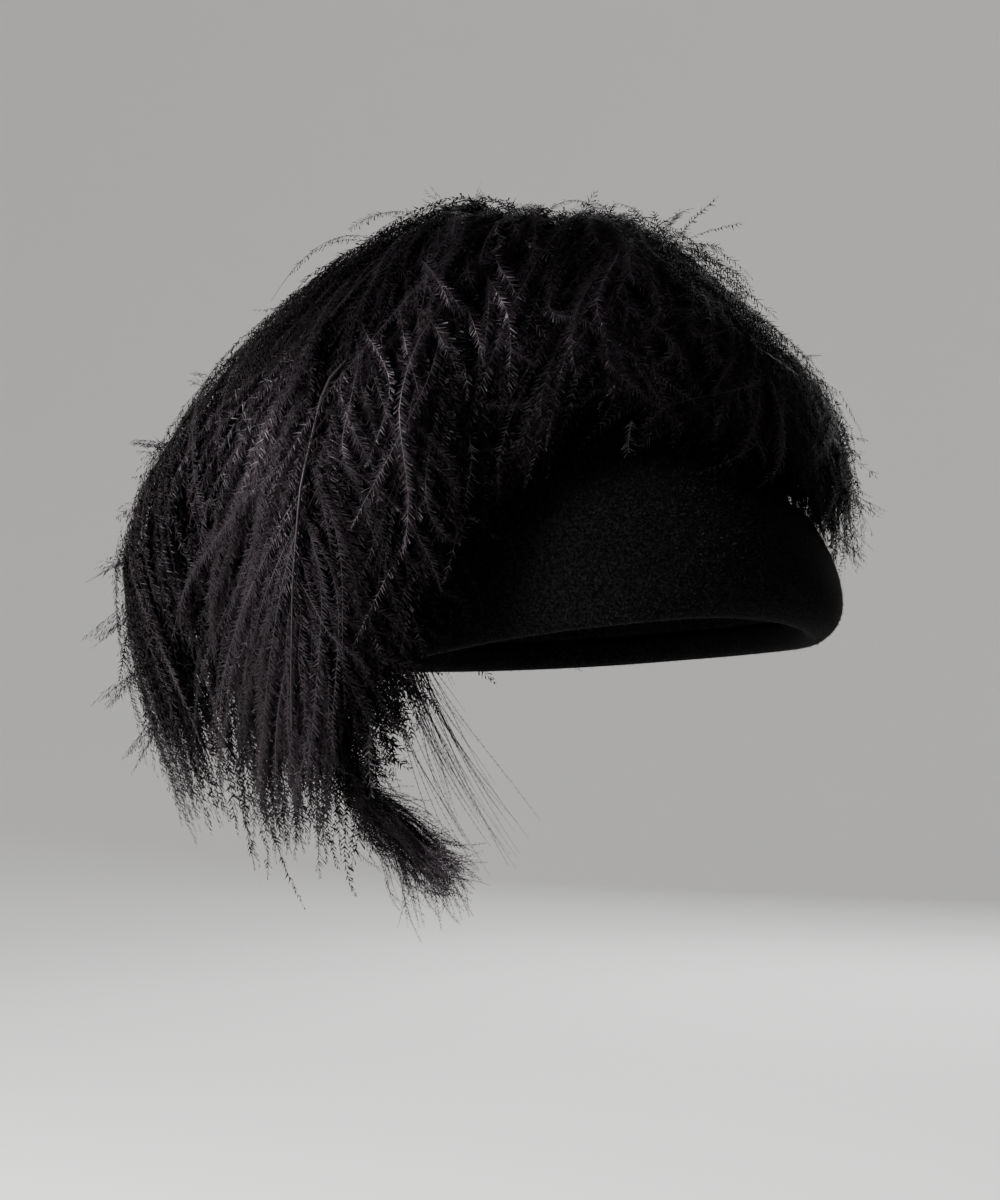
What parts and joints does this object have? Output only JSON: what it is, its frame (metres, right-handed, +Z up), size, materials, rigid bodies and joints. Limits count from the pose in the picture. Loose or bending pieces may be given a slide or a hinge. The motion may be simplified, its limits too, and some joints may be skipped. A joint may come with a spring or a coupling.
{
  "type": "feathered cocktail hat",
  "caption": "Black felt cocktail hat with a tall upturned front cuff and ostrich plumes that cover the crown and hang below the rim at the back.",
  "frame": {"origin": "centre of the head opening, level with the lower edge of the cuff over the ears, where a head holds the hat", "axes": "+Z up as worn, -Y towards the front of the hat, -X towards the wearer's right, where most of the plumes hang"},
  "size_m": [0.3148, 0.3055, 0.295],
  "materials": {
    "felt": "matte black fur felt with a short brushed nap",
    "ostrich": "black dyed ostrich plume with a soft purplish grey gloss along its barbs"
  },
  "bodies": {
    "root": {"felt_crown": "felt", "felt_cuff": "felt", "plume_front": "ostrich", "plume_front_right": "ostrich", "plume_right": "ostrich", "plume_right_side": "ostrich", "plume_back_right": "ostrich", "plume_back": "ostrich", "plume_back_left": "ostrich", "plume_left": "ostrich", "plume_front_left": "ostrich", "plume_nape": "ostrich"}
  },
  "joints": []
}
